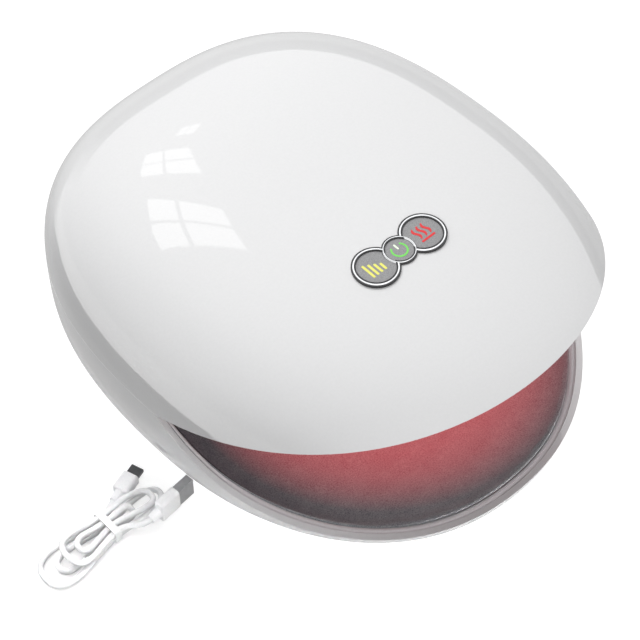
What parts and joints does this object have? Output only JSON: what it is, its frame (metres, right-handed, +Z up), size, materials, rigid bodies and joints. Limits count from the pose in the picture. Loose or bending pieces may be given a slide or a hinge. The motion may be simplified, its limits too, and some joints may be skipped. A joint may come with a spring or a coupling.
{
  "type": "hand massager",
  "caption": "Rechargeable air-compression hand massager: domed two-part shell with a cloth-lined hand slot, a row of three round buttons and a tied charging cable beside it.",
  "frame": {"origin": "on the surface that the feet stand on, under the middle of the body's bounding box, the free cable left out", "axes": "+Z up, the mouth of the hand slot faces -Y, +X to the right of a person whose hand goes in"},
  "size_m": [0.2619, 0.233, 0.1054],
  "materials": {
    "shell": "semi-gloss white",
    "trim": "satin grey",
    "lining": "charcoal cloth",
    "bright_metal": "polished",
    "button_face": "fine speckled grey",
    "inner_plastic": "moulded",
    "black_plastic": "moulded",
    "circuit_board": "solder mask",
    "airbag_film": "welded film",
    "heater": "polyimide film",
    "cell_sleeve": "shrink sleeve",
    "steel": "zinc plated",
    "rubber": "matte",
    "hose_rubber": "translucent silicone",
    "cord": "soft white jacket"
  },
  "bodies": {
    "body": {"base_shell": "shell", "top_shell": "shell", "button_bezel": "bright_metal", "button_board": "circuit_board", "switches": "inner_plastic", "board_screws": "steel", "case_screws": "steel", "upper_frame_screws": "steel", "lower_frame_screws": "steel", "feet": "rubber", "lower_mouth_trim": "trim", "upper_mouth_trim": "trim", "lower_lining": "lining", "upper_lining": "lining", "upper_frame": "inner_plastic", "lower_frame": "inner_plastic", "upper_airbag": "airbag_film", "lower_airbag": "airbag_film", "heating_film": "heater", "main_board": "circuit_board", "board_parts": "black_plastic", "main_board_screws": "steel", "battery_cells": "cell_sleeve", "battery_cradle": "inner_plastic", "pump_can": "steel", "pump_magnets": "black_plastic", "pump_head": "black_plastic", "pump_diaphragm": "rubber", "pump_cap": "black_plastic", "fill_valve": "black_plastic", "vent_valve": "black_plastic", "pump_hose": "hose_rubber", "link_hose": "hose_rubber", "upper_hose": "hose_rubber", "lower_hose": "hose_rubber", "charge_board": "circuit_board", "charge_port": "bright_metal", "cable_hank": "cord", "cable_tie": "cord", "micro_plug": "cord", "micro_plug_tip": "bright_metal", "charger_plug": "cord", "charger_plug_shell": "bright_metal"},
    "intensity_key": {"intensity_button": "button_face", "intensity_switch_plunger": "inner_plastic"},
    "power_key": {"power_button": "button_face", "power_switch_plunger": "inner_plastic"},
    "heat_key": {"heat_button": "button_face", "heat_switch_plunger": "inner_plastic"},
    "rotor": {"pump_rotor": "steel"},
    "fill_plunger": {"fill_valve_plunger": "steel"},
    "vent_plunger": {"vent_valve_plunger": "steel"}
  },
  "joints": [
    {"name": "intensity_press", "type": "slide", "parent": "body", "child": "intensity_key", "axis": [0, 0, -1], "range_m": [0, 0.0005], "stiffness_N_per_m": 1500, "springref_m": -0.0003},
    {"name": "power_press", "type": "slide", "parent": "body", "child": "power_key", "axis": [0, 0, -1], "range_m": [0, 0.0005], "stiffness_N_per_m": 1500, "springref_m": -0.0003},
    {"name": "heat_press", "type": "slide", "parent": "body", "child": "heat_key", "axis": [0, 0, -1], "range_m": [0, 0.0005], "stiffness_N_per_m": 1500, "springref_m": -0.0003},
    {"name": "pump_spin", "type": "hinge", "parent": "body", "child": "rotor", "pos_m": [-0.04, 0.0829, 0.04], "axis": [1, 0, 0], "continuous": true},
    {"name": "fill_valve_slide", "type": "slide", "parent": "body", "child": "fill_plunger", "axis": [-1, 0, 0], "range_m": [0, 0.0012], "stiffness_N_per_m": 400, "springref_m": -0.0008},
    {"name": "vent_valve_slide", "type": "slide", "parent": "body", "child": "vent_plunger", "axis": [-1, 0, 0], "range_m": [0, 0.0012], "stiffness_N_per_m": 400, "springref_m": -0.0008}
  ]
}
